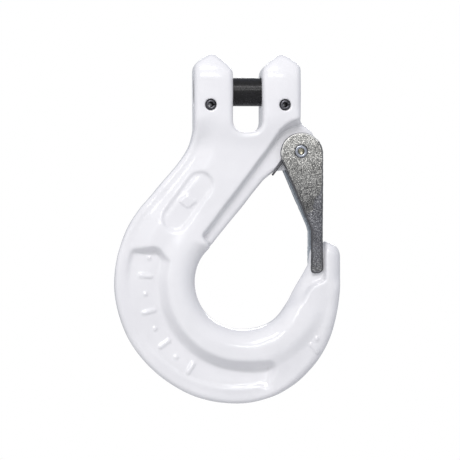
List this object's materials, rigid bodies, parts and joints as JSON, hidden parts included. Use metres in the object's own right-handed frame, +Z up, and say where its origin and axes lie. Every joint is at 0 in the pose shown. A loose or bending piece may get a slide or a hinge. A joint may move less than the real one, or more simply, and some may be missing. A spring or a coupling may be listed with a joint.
{
  "type": "clevis sling hook",
  "caption": "Forged clevis hook for 10 mm chain, with a load pin between two ears and a sprung cast latch across the mouth.",
  "frame": {"origin": "on the load pin's axis, midway between the two ears", "axes": "+X from the shank towards the tip, along the load pin's axis; +Y through the hook's thickness, away from the side that the spring is on; +Z up along the chain"},
  "size_m": [0.1025, 0.025, 0.1593],
  "materials": {
    "coated_steel": "smooth glossy white coating",
    "blackened_steel": "black oxide, satin",
    "pin_steel": "dark rolled spring steel",
    "rough_cast_steel": "rough cast, grey zinc plated",
    "bright_steel": "bright zinc plated",
    "spring_wire": "drawn spring wire"
  },
  "bodies": {
    "hook": {"hook_body": "coated_steel", "retaining_pin_left": "pin_steel", "retaining_pin_right": "pin_steel", "latch_pin": "bright_steel", "latch_spring": "spring_wire"},
    "load_pin": {"load_pin": "blackened_steel"},
    "latch": {"latch": "rough_cast_steel"}
  },
  "joints": [
    {"name": "latch_hinge", "type": "hinge", "parent": "hook", "child": "latch", "pos_m": [0.02435, 0, -0.0274], "axis": [0, 1, 0], "range_deg": [0, 52], "stiffness_Nm_per_rad": 0.15, "springref_deg": -57.3, "deforming": ["latch_spring"]},
    {"name": "load_pin_spin", "type": "hinge", "parent": "hook", "child": "load_pin", "pos_m": [0, 0, 0], "axis": [1, 0, 0], "continuous": true}
  ]
}
